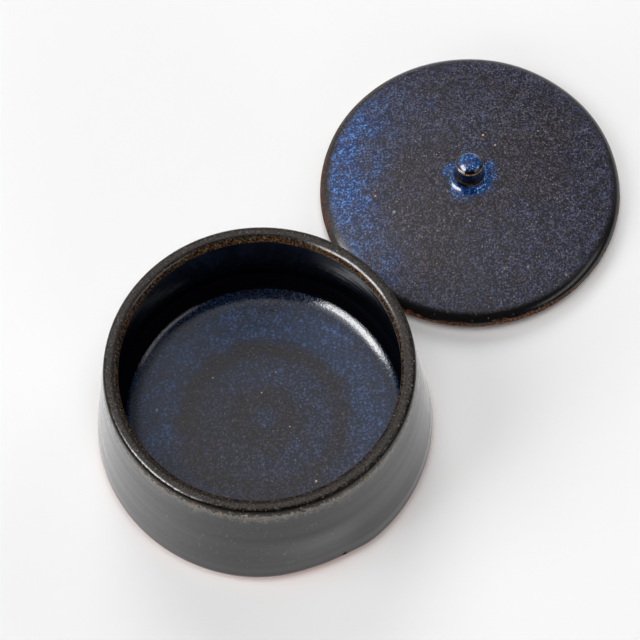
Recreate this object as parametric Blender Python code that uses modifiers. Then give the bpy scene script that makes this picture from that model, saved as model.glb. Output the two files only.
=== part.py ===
"""Lidded stoneware yarn bowl with its domed lid lying beside it.

Metres, +Z up. The origin is the centre of the bowl's flat foot, on the table.
The lid is a loose piece. It stands on the table on its locating ring, behind
the bowl (+Y) and to its right (+X).
Every round part except the foot is a turned profile: a list of (radius, height)
points in the XZ plane, revolved about Z.
"""
import bmesh
import bpy
from math import asin, atan, cos, degrees, pi, radians, sin, sqrt, tan

# ---------------------------------------------------------------- dimensions
TURN_STEPS = 64          # sides of a large turned part
KNOB_STEPS = 40          # sides of the knob
SEAM = 0.0003            # gap between clay pieces that are luted together
MERGE = 0.00001          # merge distance of the turned profiles
TABLE_Z = 0.0

# bowl, outside
BOWL_H = 0.080           # table to rim
RIM_R = 0.080            # outer radius of the rim
RIM_OUTER_ROUND = 0.0024
RIM_OUTER_END = 7        # degrees above horizontal where the outer lip meets the wall
RIM_FLAT_W = 0.0022      # flat crest that the lid sits on
BELLY_R = 0.0890         # widest radius, low on the wall
BELLY_Z = 0.0096         # height of the widest radius
BELLY_ROUND = 0.0060     # turn from the wall to the underside
WALL_BULGE = 0.0003      # outward crown of the outer and inner wall

# bowl, inside
RIM_INNER_R = 0.0723     # radius of the mouth
RIM_INNER_DROP = 0.0041  # depth of the inner rounding below the crest
FLOOR_Z = 0.0115
DISH_IN_R = 0.0360       # the floor is flat inside this radius
DISH_OUT_R = 0.0660      # from here the fillet starts
DISH_SLOPE = 10.0        # degrees, slope of the dished floor at DISH_OUT_R
DISH_POWER = 2.5         # the dish rises as this power of the distance outwards
INNER_WALL_R = 0.0780    # inner radius where the wall leaves the fillet
WALL_SLOPE = 86.0        # degrees, slope of the wall there

# unglazed foot under the bowl
FOOT_R = 0.0790
FOOT_H = 0.0032
FOOT_CHAMFER = 0.0008
UNDERSIDE_R = FOOT_R - 0.0006  # the bowl's underside is flat inside this radius

# lid, heights above the table
LID_X, LID_Y = 0.1186, 0.1309
LID_R = 0.0826
LID_SEAT_Z = 0.0066      # underside of the lid's flange
LID_BOTTOM_ROUND = 0.0008
LID_ROLL_W = 0.0124      # roll-over from the lid's top to its edge: width
LID_ROLL_H = 0.0070      # and height
LID_ROLL_R = LID_R - LID_ROLL_W              # centre of the roll-over: radius
LID_ROLL_Z = LID_SEAT_Z + LID_BOTTOM_ROUND   # and height
LID_CROWN_Z = 0.0246     # top of the dome
LID_WALL = 0.0066        # clay thickness of the dome
LID_SEAT_IN_R = 0.0615   # inner edge of the flat seat
LID_HOLLOW_BEVEL = 0.0035  # 45 degree step from the seat into the hollow

# locating ring under the lid, drops inside the bowl's mouth
RING_OUT_R = 0.0706
RING_IN_R = 0.0632
RING_ROUND = 0.0012

# knob
KNOB_DX = -0.0009        # the knob stands slightly off the lid's centre
KNOB_PAD_R = 0.0152      # flat pad on the dome under the knob
KNOB_NECK_R = 0.0072
KNOB_FLARE = 0.0070      # radius of the concave fillet at the knob's base
KNOB_FLARE_TURN = 82     # degrees that the fillet turns through
KNOB_RING_R = 0.0075     # radius of the rim round the knob's top
KNOB_RING_Z = 0.0388     # height of that rim above the table
KNOB_TOP_Z = 0.0425      # crown of the knob's top
KNOB_EDGE = 0.0007       # rounding of the rim


# --------------------------------------------------------------------- scene
def clear_scene():
    for obj in list(bpy.data.objects):
        bpy.data.objects.remove(obj, do_unlink=True)
    for blocks in (bpy.data.meshes, bpy.data.materials, bpy.data.collections):
        for block in list(blocks):
            blocks.remove(block)


def new_collection(name):
    collection = bpy.data.collections.new(name)
    bpy.context.scene.collection.children.link(collection)
    return collection


def clay(name, colour, roughness, coat=0.0):
    """Clay body, with a clear coat where it is glazed."""
    material = bpy.data.materials.new(name)
    material.use_nodes = True
    settings = {
        "Base Color": (*colour, 1.0),
        "Roughness": roughness,
        "Metallic": 0.0,
        "Coat Weight": coat,
        "Coat Roughness": 0.12,
    }
    inputs = material.node_tree.nodes["Principled BSDF"].inputs
    for socket, value in settings.items():
        inputs[socket].default_value = value
    material.diffuse_color = (*colour, 1.0)
    return material


# ------------------------------------------------------------ profile pieces
def fractions(steps):
    """The inner fractions 1/steps, 2/steps ... of a span, without its ends."""
    return [i / steps for i in range(1, steps)]


def ellipse(centre, radii, start, end, steps):
    """steps + 1 points on an ellipse, angles in degrees from +X towards +Z."""
    points = []
    for i in range(steps + 1):
        angle = radians(start + (end - start) * i / steps)
        points.append((centre[0] + radii[0] * cos(angle),
                       centre[1] + radii[1] * sin(angle)))
    return points


def arc(centre, radius, start, end, steps):
    return ellipse(centre, (radius, radius), start, end, steps)


def wall(start, end, steps):
    """Inner points from start to end, pushed outwards by a sine bulge."""
    return [(start[0] + (end[0] - start[0]) * t + WALL_BULGE * sin(pi * t),
             start[1] + (end[1] - start[1]) * t)
            for t in fractions(steps)]


def dome_point(r, crown_z, edge):
    """Point at radius r on a spherical cap from its crown to its edge point."""
    edge_r, edge_z = edge
    sag = crown_z - edge_z
    sphere_r = (edge_r ** 2 + sag ** 2) / (2 * sag)
    return r, crown_z - sphere_r + sqrt(sphere_r ** 2 - r ** 2)


def turned(name, profile, material, collection, closed=False,
           steps=TURN_STEPS, location=(0.0, 0.0, 0.0), parent=None):
    """Revolve a profile about Z with a Screw modifier."""
    mesh = bpy.data.meshes.new(name)
    bm = bmesh.new()
    verts = [bm.verts.new((x, 0.0, z)) for x, z in profile]
    for pair in zip(verts, verts[1:]):
        bm.edges.new(pair)
    if closed:
        bm.edges.new((verts[-1], verts[0]))
    bm.to_mesh(mesh)
    bm.free()
    mesh.materials.append(material)
    obj = bpy.data.objects.new(name, mesh)
    collection.objects.link(obj)
    screw = obj.modifiers.new("Turn", "SCREW")
    screw.axis = "Z"
    screw.angle = 2 * pi
    screw.steps = steps
    screw.render_steps = steps
    screw.use_merge_vertices = True
    screw.merge_threshold = MERGE
    screw.use_smooth_shade = True
    obj.location = location
    obj.parent = parent


# ---------------------------------------------------------------------- bowl
def bowl_profile():
    """From the centre of the floor, up and over the rim, to the underside."""
    points = [(0.0, FLOOR_Z), (DISH_IN_R, FLOOR_Z)]

    # shallow dish, its slope growing outwards to DISH_SLOPE
    dish_w = DISH_OUT_R - DISH_IN_R
    dish_rise = radians(DISH_SLOPE) * dish_w / DISH_POWER
    points += [(DISH_IN_R + dish_w * t, FLOOR_Z + dish_rise * t ** DISH_POWER)
               for t in fractions(4)]

    # fillet, tangent to the dish's slope and the wall's
    dish_angle, wall_angle = radians(DISH_SLOPE), radians(WALL_SLOPE)
    fillet = (INNER_WALL_R - DISH_OUT_R) / (sin(wall_angle) - sin(dish_angle))
    centre = (DISH_OUT_R - fillet * sin(dish_angle),
              FLOOR_Z + dish_rise + fillet * cos(dish_angle))
    points += arc(centre, fillet, DISH_SLOPE - 90, WALL_SLOPE - 90, steps=8)

    # inner wall leans in to the mouth
    mouth_z = BOWL_H - RIM_INNER_DROP
    points += wall(points[-1], (RIM_INNER_R, mouth_z), steps=5)

    # rounded inner lip, flat crest, rounded outer lip
    lip_r = RIM_R - RIM_OUTER_ROUND
    crest_in_r = lip_r - RIM_FLAT_W
    points += ellipse((crest_in_r, mouth_z), (crest_in_r - RIM_INNER_R, RIM_INNER_DROP),
                      180, 90, steps=5)
    points += arc((lip_r, BOWL_H - RIM_OUTER_ROUND), RIM_OUTER_ROUND,
                  90, RIM_OUTER_END, steps=5)

    # outer wall runs down and out to the belly, then turns under
    points += wall(points[-1], (BELLY_R, BELLY_Z), steps=6)
    points += arc((BELLY_R - BELLY_ROUND, BELLY_Z), BELLY_ROUND, 0, -90, steps=6)
    underside_z = FOOT_H + SEAM
    points += [(UNDERSIDE_R, underside_z), (0.0, underside_z)]
    return points


def build_bowl(collection):
    glaze = clay("glaze_satin_dark", colour=(0.042, 0.040, 0.042), roughness=0.38, coat=0.25)
    turned("bowl_body", bowl_profile(), glaze, collection)


def build_foot(collection):
    """Bare clay disc with chamfered edges."""
    bpy.ops.mesh.primitive_cylinder_add(
        vertices=TURN_STEPS, radius=FOOT_R, depth=FOOT_H,
        end_fill_type="NGON", location=(0.0, 0.0, FOOT_H / 2))
    foot = bpy.context.object
    foot.name = "bowl_foot"
    foot.data.name = "bowl_foot"
    foot.data.materials.append(
        clay("bare_clay_foot", colour=(0.205, 0.105, 0.070), roughness=0.85))
    for owner in list(foot.users_collection):
        owner.objects.unlink(foot)
    collection.objects.link(foot)
    bevel = foot.modifiers.new("Edge", "BEVEL")
    bevel.width = FOOT_CHAMFER
    bevel.segments = 2
    bevel.limit_method = "ANGLE"
    bevel.angle_limit = radians(60)
    foot.data.shade_smooth()
    foot.data.set_sharp_from_angle(angle=radians(40))


# ----------------------------------------------------------------------- lid
def lid_dome_edge():
    """Point where the dome meets the roll-over with the same slope.

    Found by fixed-point iteration. Also returns the roll-over's angle from
    vertical there, in radians.
    """
    turn = 0.0
    for _ in range(60):
        edge_r = LID_ROLL_R + LID_ROLL_W * sin(turn)
        edge_z = LID_ROLL_Z + LID_ROLL_H * cos(turn)
        sag = LID_CROWN_Z - edge_z
        sphere_r = (edge_r ** 2 + sag ** 2) / (2 * sag)
        slope = asin(edge_r / sphere_r)
        turn = atan(tan(slope) * LID_ROLL_W / LID_ROLL_H)
    return (edge_r, edge_z), turn


def plate_profile(edge, turn, pad_z):
    """Domed plate: thick flat flange at the edge, hollow underneath."""
    # flat pad, dome, roll-over and rounded bottom edge
    points = [(0.0, pad_z), (KNOB_PAD_R, pad_z)]
    points += [dome_point(KNOB_PAD_R + (edge[0] - KNOB_PAD_R) * t, LID_CROWN_Z, edge)
               for t in fractions(7)]
    points += ellipse((LID_ROLL_R, LID_ROLL_Z), (LID_ROLL_W, LID_ROLL_H),
                      90 - degrees(turn), 0, steps=7)
    # the first point of the bottom round is the roll-over's last
    points += arc((LID_R - LID_BOTTOM_ROUND, LID_ROLL_Z), LID_BOTTOM_ROUND,
                  0, -90, steps=3)[1:]

    # flat seat, then the hollow under the dome
    points.append((LID_SEAT_IN_R, LID_SEAT_Z))
    hollow_top_z = LID_CROWN_Z - LID_WALL
    hollow_edge = (LID_SEAT_IN_R - LID_HOLLOW_BEVEL, LID_SEAT_Z + LID_HOLLOW_BEVEL)
    points += [dome_point(hollow_edge[0] * (1 - t), hollow_top_z, hollow_edge)
               for t in [0.0] + fractions(6)]
    points.append((0.0, hollow_top_z))
    return points


def ring_profile():
    """Closed section, square at the top and rounded where it meets the table."""
    top_z = LID_SEAT_Z - SEAM
    round_z = TABLE_Z + RING_ROUND
    points = [(RING_IN_R, top_z), (RING_OUT_R, top_z)]
    points += arc((RING_OUT_R - RING_ROUND, round_z), RING_ROUND, 0, -90, steps=3)
    points += arc((RING_IN_R + RING_ROUND, round_z), RING_ROUND, -90, -180, steps=3)
    return points


def knob_profile(base_z):
    """Short waisted drum with a low domed top and a flared base."""
    crown_r = KNOB_RING_R - KNOB_EDGE
    crown_edge = (crown_r, KNOB_RING_Z + KNOB_EDGE)
    points = [(0.0, KNOB_TOP_Z)]
    points += [dome_point(crown_r * t, KNOB_TOP_Z, crown_edge) for t in fractions(4)]
    points += arc((crown_r, KNOB_RING_Z), KNOB_EDGE, 90, 0, steps=3)

    # side narrows from the rim to the neck, then flares to the base
    neck_z = base_z + KNOB_FLARE
    points += [(KNOB_RING_R + (KNOB_NECK_R - KNOB_RING_R) * sin(pi * t / 2),
                KNOB_RING_Z + (neck_z - KNOB_RING_Z) * t)
               for t in fractions(4)]
    points += arc((KNOB_NECK_R + KNOB_FLARE, neck_z), KNOB_FLARE,
                  180, 180 + KNOB_FLARE_TURN, steps=5)
    points += [(points[-1][0], base_z), (0.0, base_z)]
    return points


def build_lid(collection):
    """Plate, locating ring and knob, moved together by one empty."""
    axis = bpy.data.objects.new("lid_axis", None)
    axis.empty_display_size = 0.02
    axis.location = (LID_X, LID_Y, TABLE_Z)
    collection.objects.link(axis)

    edge, turn = lid_dome_edge()
    pad_z = dome_point(KNOB_PAD_R, LID_CROWN_Z, edge)[1]

    glaze = clay("glaze_lid_blue", colour=(0.030, 0.034, 0.062), roughness=0.30, coat=0.35)
    turned("lid_plate", plate_profile(edge, turn, pad_z), glaze, collection, parent=axis)

    bare = clay("bare_clay_ring", colour=(0.190, 0.100, 0.068), roughness=0.85)
    turned("lid_locating_ring", ring_profile(), bare, collection, closed=True, parent=axis)

    glaze = clay("glaze_knob_blue", colour=(0.035, 0.075, 0.190), roughness=0.16, coat=0.60)
    turned("lid_knob", knob_profile(pad_z + SEAM), glaze, collection,
           steps=KNOB_STEPS, location=(KNOB_DX, 0.0, 0.0), parent=axis)


clear_scene()
yarn_bowl = new_collection("yarn_bowl")
build_bowl(yarn_bowl)
build_foot(yarn_bowl)
build_lid(yarn_bowl)
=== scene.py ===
import math
from functools import cached_property

import bpy
import numpy as np
from mathutils import Matrix, Vector


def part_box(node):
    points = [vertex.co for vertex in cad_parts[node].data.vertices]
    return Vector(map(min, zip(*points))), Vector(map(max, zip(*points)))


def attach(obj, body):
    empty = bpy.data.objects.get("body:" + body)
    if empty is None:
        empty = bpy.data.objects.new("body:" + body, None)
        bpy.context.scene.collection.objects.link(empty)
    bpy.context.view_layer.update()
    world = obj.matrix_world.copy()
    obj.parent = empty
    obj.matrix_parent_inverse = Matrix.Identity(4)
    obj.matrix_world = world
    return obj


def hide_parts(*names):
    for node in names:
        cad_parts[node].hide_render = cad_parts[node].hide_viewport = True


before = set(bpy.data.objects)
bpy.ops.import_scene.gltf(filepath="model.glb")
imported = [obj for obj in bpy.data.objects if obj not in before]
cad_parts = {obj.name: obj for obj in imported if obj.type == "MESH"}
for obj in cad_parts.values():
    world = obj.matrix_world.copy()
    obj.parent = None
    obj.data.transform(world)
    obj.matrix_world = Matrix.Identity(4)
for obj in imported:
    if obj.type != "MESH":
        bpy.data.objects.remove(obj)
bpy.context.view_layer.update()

TAU = 2.0 * math.pi
MM = 0.001


# ---------------------------------------------------------------- placement
def axis_of(lo, hi):
    return Vector(((lo.x + hi.x) / 2, (lo.y + hi.y) / 2, 0.0))


def radius_of(lo, hi):
    return (hi.x - lo.x) / 2 / MM


body_lo, body_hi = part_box("bowl_body")
foot_lo, foot_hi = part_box("bowl_foot")
plate_lo, plate_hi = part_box("lid_plate")
ring_lo, ring_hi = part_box("lid_locating_ring")
knob_lo, knob_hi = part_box("lid_knob")
BOWL_AXIS = axis_of(foot_lo, foot_hi)
LID_AXIS = axis_of(ring_lo, ring_hi)
KNOB_AXIS = axis_of(knob_lo, knob_hi)
RIM_Z = body_hi.z / MM
BELLY_R = radius_of(body_lo, body_hi)
BODY_Z0 = body_lo.z / MM
FOOT_R = radius_of(foot_lo, foot_hi)
FOOT_H = foot_hi.z / MM
LID_R = radius_of(plate_lo, plate_hi)
LID_Z0 = plate_lo.z / MM
CROWN_Z = 24.6
RING_OUT_R = radius_of(ring_lo, ring_hi)
RING_TOP = ring_hi.z / MM
KNOB_TOP = knob_hi.z / MM


# ------------------------------------------------------------ profile tools
def arc(centre, radii, start, end, step):
    """Points on an ellipse from start to end (degrees), about step apart."""
    length = math.radians(abs(end - start)) * (radii[0] + radii[1]) / 2
    count = max(3, int(math.ceil(length / step)))
    angle = np.radians(np.linspace(start, end, count + 1))
    return np.c_[centre[0] + radii[0] * np.cos(angle), centre[1] + radii[1] * np.sin(angle)]


def line(start, end, step):
    count = max(1, int(math.ceil(math.dist(start, end) / step)))
    t = np.linspace(0, 1, count + 1)[:, None]
    return np.array(start, float) * (1 - t) + np.array(end, float) * t


def join(*sections):
    """Chains sections, leaving out repeated end points."""
    points = [tuple(sections[0][0])]
    for section in sections:
        for point in section:
            if math.dist(points[-1], point) > 1e-4:
                points.append((float(point[0]), float(point[1])))
    return np.array(points)


def length_of(*sections):
    return float(np.linalg.norm(np.diff(join(*sections), axis=0), axis=1).sum())


def dome(radius, crown, edge_r, edge_z):
    """Height at radius of a sphere through the crown and the edge."""
    sag = crown - edge_z
    sphere_r = (edge_r ** 2 + sag ** 2) / (2 * sag)
    return crown - sphere_r + np.sqrt(sphere_r * sphere_r - np.asarray(radius, float) ** 2)


def smooth(start, end, value):
    t = np.clip((np.asarray(value, float) - start) / (end - start), 0, 1)
    return t * t * (3 - 2 * t)


def hump(value, centre, width):
    """A soft hump of height 1."""
    return np.exp(-((np.asarray(value, float) - centre) / width) ** 2)


def waves(seed, theta, along, terms, max_turns, shortest, longest):
    """Slow wobble of a thrown wall: a fixed sum of waves round and along it."""
    rng = np.random.RandomState(seed)
    total = np.zeros(np.broadcast(theta, along).shape)
    for _ in range(terms):
        turns = rng.randint(0, max_turns + 1)
        wavelength = shortest * (longest / shortest) ** rng.rand()
        total = total + rng.uniform(0.4, 1.0) * np.cos(
            turns * theta + TAU * along / wavelength * rng.choice([-1, 1]) + TAU * rng.rand())
    return total / math.sqrt(terms)


# -------------------------------------------------------------- mesh builder
def turned(name, profile, axis, sectors, shape, material, assembly, cad_piece):
    """profile holds (radius, height) and runs so that the outside is on its left
    when seen with r to the right and z up, from the axis back to the axis, or
    round a ring. shape(theta, along, radius, z, normal_r, normal_z) gives the
    push (in r, in z) of each point.
    """
    closed = profile[0][0] > 1e-6
    first, last = profile[:1], profile[-1:]
    if closed:
        before, after = last, first
    else:
        before = first - (profile[1:2] - first)
        after = last + (last - profile[-2:-1])
    padded = np.vstack([before, profile, after])
    tangent = padded[2:] - padded[:-2]
    tangent /= np.maximum(np.linalg.norm(tangent, axis=1), 1e-9)[:, None]
    steps = np.linalg.norm(np.diff(profile, axis=0), axis=1)
    theta, along = np.meshgrid(np.arange(sectors) * TAU / sectors, np.cumsum(np.r_[0, steps]))
    radius, z, normal_r, normal_z = (
        np.repeat(column[:, None], sectors, 1)
        for column in (profile[:, 0], profile[:, 1], -tangent[:, 1], tangent[:, 0]))
    push_r, push_z = shape(theta, along, radius, z, normal_r, normal_z)
    fade = 1.0 if closed else smooth(0.0, 3.0, radius)

    # a row on the axis keeps one vertex, the others one for each sector
    kept = (radius >= 1e-6) | (np.arange(sectors) == 0)
    counts = kept.sum(axis=1)
    starts = np.cumsum(counts) - counts
    rows = [range(start, start + count) for start, count in zip(starts, counts)]

    def cartesian(r, height):
        return np.stack([r * np.cos(theta), r * np.sin(theta), height], -1)[kept]

    faces = []
    for lower, upper in zip(rows, rows[1:] + rows[:1] if closed else rows[1:]):
        if len(lower) == 1 and len(upper) == 1:
            continue
        for i in range(sectors):
            k = (i + 1) % sectors
            if len(lower) == 1:
                faces.append((lower[0], upper[i], upper[k]))
            elif len(upper) == 1:
                faces.append((lower[i], upper[0], lower[k]))
            else:
                faces.append((lower[i], upper[i], upper[k], lower[k]))
    places = cartesian(radius + push_r * fade, z + push_z * fade) * MM + np.array(axis)
    mesh = bpy.data.meshes.new(name)
    mesh.from_pydata(places.tolist(), [], faces)
    mesh.update()
    # loc: place before the push, along: distance along the profile (both in
    # millimetres), down: 1 where the profile faces down
    for label, kind, key, values in (
            ("loc", "FLOAT_VECTOR", "vector", cartesian(radius, z)),
            ("along", "FLOAT", "value", along[kept]),
            ("down", "FLOAT", "value", (normal_z < -0.05)[kept])):
        attribute = mesh.attributes.new(label, kind, "POINT")
        attribute.data.foreach_set(key, np.ascontiguousarray(values, np.float32).ravel())
    mesh.materials.append(material)
    mesh.shade_smooth()
    piece = bpy.data.objects.new(name, mesh)
    bpy.context.scene.collection.objects.link(piece)
    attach(piece, assembly)
    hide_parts(cad_piece)


# ----------------------------------------------------------------- node tools
class Value:
    """A node's output socket. Arithmetic on it adds math nodes."""

    def __init__(self, socket):
        self.socket = socket
        self.tree = socket.id_data

    def sibling(self, out):
        """Another output of the same node."""
        return Value(self.socket.node.outputs[out])

    def __add__(self, other):
        return calc("ADD", self, other)

    def __radd__(self, other):
        return calc("ADD", other, self)

    def __sub__(self, other):
        return calc("SUBTRACT", self, other)

    def __rsub__(self, other):
        return calc("SUBTRACT", other, self)

    def __mul__(self, other):
        return calc("MULTIPLY", self, other)


def put(socket, value):
    """Links a Value to an input, or sets it; a colour gets an alpha of 1."""
    if isinstance(value, Value):
        value.tree.links.new(value.socket, socket)
    elif isinstance(value, tuple) and len(socket.default_value) == 4:
        socket.default_value = (*value, 1.0)
    else:
        socket.default_value = value


def node(tree, kind, inputs, out=0, **props):
    """Adds a node and returns one of its outputs. inputs maps each socket's
    name or number to a Value or a constant."""
    made = tree.nodes.new(kind)
    for key, value in props.items():
        setattr(made, key, value)
    for key, value in inputs.items():
        put(made.inputs[key], value)
    return Value(made.outputs[out])


def calc(op, *args, clamp=False):
    tree = next(arg for arg in args if isinstance(arg, Value)).tree
    return node(tree, "ShaderNodeMath", dict(enumerate(args)), operation=op, use_clamp=clamp)


def vector_calc(op, *args, out="Vector"):
    return node(args[0].tree, "ShaderNodeVectorMath", dict(enumerate(args)), out, operation=op)


def dot(vector, direction):
    return vector_calc("DOT_PRODUCT", vector, direction, out="Value")


def weighted_length(vector, weights):
    return vector_calc("LENGTH", vector_calc("MULTIPLY", vector, weights), out="Value")


def ramp(value, start, end, lo=0.0, hi=1.0, soft=True):
    """lo at start, hi at end, eased (or straight) between, clamped outside."""
    if not isinstance(end, Value) and start > end:
        start, end, lo, hi = end, start, hi, lo
    inputs = {"Value": value, "From Min": start, "From Max": end, "To Min": lo, "To Max": hi}
    return node(value.tree, "ShaderNodeMapRange", inputs, "Result", clamp=True,
                interpolation_type="SMOOTHSTEP" if soft else "LINEAR")


def band(value, rise, full, full_end, fall):
    """0 below rise, 1 from full to full_end, 0 above fall."""
    return ramp(value, rise, full) * ramp(value, full_end, fall, lo=1.0, hi=0.0)


def mix(amount, below, above):
    """Colour: below where amount is 0, above where it is 1."""
    return node(amount.tree, "ShaderNodeMix", {"Factor": amount, 6: below, 7: above}, 2,
                data_type="RGBA", blend_type="MIX", clamp_factor=True)


def fmix(amount, below, above):
    """The same for a single number."""
    return node(amount.tree, "ShaderNodeMix", {"Factor": amount, 2: below, 3: above},
                data_type="FLOAT", clamp_factor=True)


def relief(height, distance, strength=0.5):
    """Bumped normal; distance is in metres."""
    return node(height.tree, "ShaderNodeBump",
                {"Strength": strength, "Distance": distance, "Height": height})


class Skin:
    """A turned piece's material, with fields measured about its axis in mm."""

    def __init__(self, name):
        self.material = bpy.data.materials.new(name)
        self.material.use_nodes = True
        self.tree = self.material.node_tree
        self.tree.nodes.clear()

    def attribute(self, name, out="Fac"):
        return node(self.tree, "ShaderNodeAttribute", {}, out, attribute_name=name)

    @cached_property
    def loc(self):
        return self.attribute("loc", "Vector")

    @cached_property
    def xyz(self):
        x = node(self.tree, "ShaderNodeSeparateXYZ", {0: self.loc})
        return x, x.sibling(1), x.sibling(2)

    @cached_property
    def radius(self):
        return weighted_length(self.loc, (1, 1, 0))

    def distance(self, centre, weights=(1, 1, 0)):
        """Distance from centre, each axis weighted; level distance by default."""
        return weighted_length(vector_calc("SUBTRACT", self.loc, centre), weights)

    def towards(self, azimuth):
        """Cosine of the angle round the axis from the given azimuth."""
        angle = math.radians(azimuth)
        ahead = dot(self.loc, (math.cos(angle), math.sin(angle), 0.0))
        return calc("DIVIDE", ahead, calc("MAXIMUM", self.radius, 0.01))

    def noise(self, scale, detail=2.0, rough=0.5, offset=None, stretch=None, vector=None):
        """Noise from 0 to 1, over loc or vector, after its stretch and offset."""
        vector = vector or self.loc
        if stretch is not None:
            vector = vector_calc("MULTIPLY", vector, stretch)
        if offset is not None:
            vector = vector_calc("ADD", vector, offset)
        return node(self.tree, "ShaderNodeTexNoise",
                    {"Vector": vector, "Scale": scale, "Detail": detail, "Roughness": rough},
                    "Fac")

    def dots(self, scale, size, share, offset, soft=0.4):
        """Round specks: size is a share of the cell, share how many cells have
        one, soft the share of the radius that fades."""
        place = vector_calc("ADD", self.loc, offset)
        distance = node(self.tree, "ShaderNodeTexVoronoi", {"Vector": place, "Scale": scale},
                        "Distance", feature="F1")
        random = node(self.tree, "ShaderNodeSeparateColor", {0: distance.sibling("Color")})
        keep = ramp(random, 1.0 - share, 1.0 - share + 0.02, soft=False)
        radius = ramp(random.sibling(1), 0.0, 1.0, lo=size * 0.5, hi=size, soft=False)
        return ramp(distance, radius * (1.0 - soft), radius, lo=1.0, hi=0.0) * keep

    def spot(self, x, y, radius):
        """One soft-edged fleck centred over (x, y)."""
        ragged = (self.noise(1.6) - 0.5) * (radius * 1.2)
        return ramp(self.distance((x, y, 0)) + ragged, radius, radius * 0.45)

    def finish(self, colour, rough, normal, ior=1.55, spec=None, sheen=None):
        inputs = {"Base Color": colour, "Roughness": rough, "IOR": ior, "Normal": normal}
        if spec is not None:
            inputs["Specular IOR Level"] = spec
        if sheen is not None:
            inputs["Sheen Weight"] = sheen
            inputs["Sheen Roughness"] = 0.20
        shader = node(self.tree, "ShaderNodeBsdfPrincipled", inputs)
        put(self.tree.nodes.new("ShaderNodeOutputMaterial").inputs["Surface"], shader)
        return self.material


# ------------------------------------------------------------------ materials
def crystals(mat, seed, scale=0.92, lo=0.43, hi=0.68):
    """The glaze's fine crystal speckle, 0.6 to 0.8 mm across: how strong it is
    at each place, its hue from 0 to 1, and a sparse set of brighter grains."""
    field = mat.noise(scale, rough=0.65, offset=(seed, 3.1, 1.7))
    cluster = mat.noise(0.23, offset=(seed, 7.7, 2.2)) - 0.5
    strong = ramp(field + cluster * 0.22, lo, hi)
    hue = ramp(mat.noise(0.60, detail=1.0, offset=(seed + 4.0, 1.3, 8.0)), 0.34, 0.66)
    grains = mat.dots(0.72, size=0.40, share=0.24, offset=(seed + 9.0, 0.3, 4.2))
    return strong, hue, grains


def speckled(blue, speckle, dark, deep, tan, violet, cyan, pale, strength, grain_strength):
    """Glaze with its crystals. Where blue is 0 the ground is dark, with tan to
    violet crystals and pale grains; where it is 1 the ground is deep, with
    violet to cyan crystals and cyan grains."""
    strong, hue, grains = speckle
    ground = mix(blue, dark, deep)
    plain = mix(hue, tan, violet)
    rich = mix(hue, violet, cyan)
    crystal = mix(blue, plain, rich)
    colour = mix(strong * strength, ground, crystal)
    return mix(grains * grain_strength, colour, mix(blue, pale, cyan))


def pool_mask(mat, centre_x):
    """Where the blue glaze has gathered round the foot of the knob."""
    broad = mat.noise(0.13, rough=0.55, offset=(1, 2, 9)) - 0.5
    fine = mat.noise(0.5, rough=0.6, offset=(6, 2, 9)) - 0.5
    reach = mat.distance((centre_x, 0, 0)) + broad * 17.0 + fine * 6.0
    return ramp(reach, 17.0, 10.0) * ramp(reach, 16.0, 11.5, lo=0.35)


LID_FLECKS = (  # x, y, radius, colour (orange, tan or pale grey), strength
    (8.8, 25.6, 0.85, (0.62, 0.33, 0.13), 0.95),
    (14.9, 18.8, 0.65, (0.50, 0.36, 0.20), 0.90),
    (-52.6, -6.3, 0.80, (0.50, 0.27, 0.12), 0.90),
    (-42.9, -17.4, 1.15, (0.30, 0.29, 0.28), 0.75),
    (39.4, 27.9, 0.80, (0.26, 0.25, 0.26), 0.70),
    (27.5, -53.7, 0.90, (0.24, 0.23, 0.24), 0.70),
    (-2.2, -26.8, 0.75, (0.28, 0.27, 0.28), 0.70),
    (47.9, -57.9, 0.65, (0.40, 0.22, 0.10), 0.80))


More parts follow.
